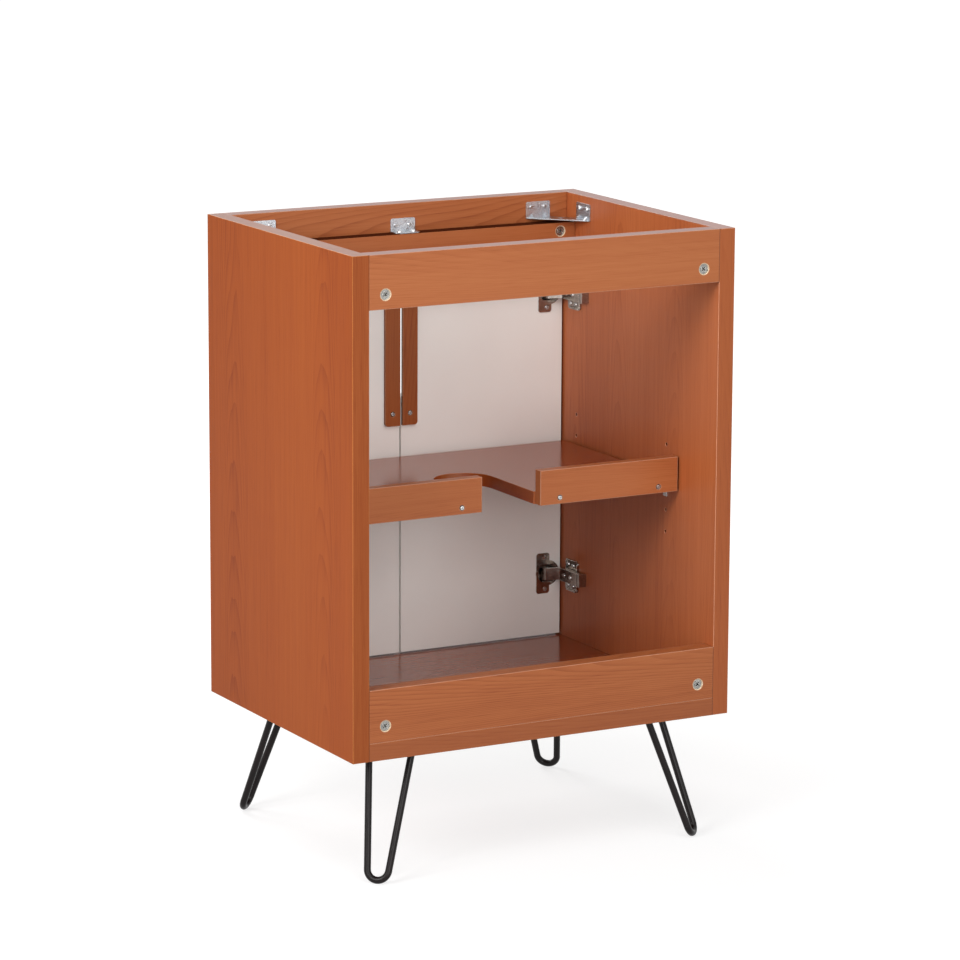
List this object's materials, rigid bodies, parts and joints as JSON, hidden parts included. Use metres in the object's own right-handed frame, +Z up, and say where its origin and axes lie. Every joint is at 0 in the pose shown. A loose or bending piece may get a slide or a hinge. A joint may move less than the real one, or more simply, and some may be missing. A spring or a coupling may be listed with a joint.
{
  "type": "bathroom vanity base cabinet",
  "caption": "Open-backed bathroom vanity base cabinet on hairpin legs, with inset doors on concealed hinges, a notched shelf and an open top for a basin.",
  "frame": {"origin": "on the floor under the middle of the carcass", "axes": "+Z up; doors face -Y and the open back faces +Y; +X is the right side seen from in front of the doors"},
  "size_m": [0.6, 0.455, 0.88],
  "materials": {
    "cherry_laminate": "semi-gloss cherry wood-grain laminate",
    "white_lacquer": "semi-gloss warm white",
    "zinc": "zinc plated",
    "galvanised_steel": "galvanised, faint spangle",
    "nickel": "dark nickel plated",
    "beech": "plain sanded",
    "black_steel": "satin black powder coat"
  },
  "bodies": {
    "cabinet": {"right_side_panel": "cherry_laminate", "left_side_panel": "cherry_laminate", "bottom_panel": "cherry_laminate", "back_top_rail": "cherry_laminate", "back_bottom_rail": "cherry_laminate", "front_fascia": "cherry_laminate", "front_stretcher": "cherry_laminate", "cam_locks": "zinc", "cam_bolts": "zinc", "dowels": "beech", "centre_angle_bracket": "galvanised_steel", "front_right_corner_bracket": "galvanised_steel", "front_left_corner_bracket": "galvanised_steel", "rear_right_corner_bracket": "galvanised_steel", "rear_left_corner_bracket": "galvanised_steel", "bracket_screws": "zinc", "shelf_board": "cherry_laminate", "right_shelf_lip": "cherry_laminate", "left_shelf_lip": "cherry_laminate", "shelf_lip_screws": "zinc", "shelf_supports": "zinc", "right_upper_hinge_arm": "nickel", "right_lower_hinge_arm": "nickel", "left_upper_hinge_arm": "nickel", "left_lower_hinge_arm": "nickel", "right_upper_hinge_plate": "nickel", "right_lower_hinge_plate": "nickel", "left_upper_hinge_plate": "nickel", "left_lower_hinge_plate": "nickel", "hinge_plate_screws": "zinc", "hinge_arm_screws": "zinc", "front_right_leg": "black_steel", "front_left_leg": "black_steel", "rear_right_leg": "black_steel", "rear_left_leg": "black_steel", "leg_screws": "zinc"},
    "right_door_leaf": {"right_door": "white_lacquer", "right_pull_strip": "cherry_laminate", "right_pull_screws": "zinc", "right_upper_hinge_cup": "nickel", "right_lower_hinge_cup": "nickel", "right_upper_hinge_pin": "nickel", "right_lower_hinge_pin": "nickel", "right_cup_screws": "zinc"},
    "left_door_leaf": {"left_door": "white_lacquer", "left_pull_strip": "cherry_laminate", "left_pull_screws": "zinc", "left_upper_hinge_cup": "nickel", "left_lower_hinge_cup": "nickel", "left_upper_hinge_pin": "nickel", "left_lower_hinge_pin": "nickel", "left_cup_screws": "zinc"}
  },
  "joints": [
    {"name": "right_door_swing", "type": "hinge", "parent": "cabinet", "child": "right_door_leaf", "pos_m": [0.259, -0.2198, 0.5185], "axis": [0, 0, 1], "range_deg": [0, 100]},
    {"name": "left_door_swing", "type": "hinge", "parent": "cabinet", "child": "left_door_leaf", "pos_m": [-0.259, -0.2198, 0.5185], "axis": [0, 0, -1], "range_deg": [0, 100]}
  ]
}
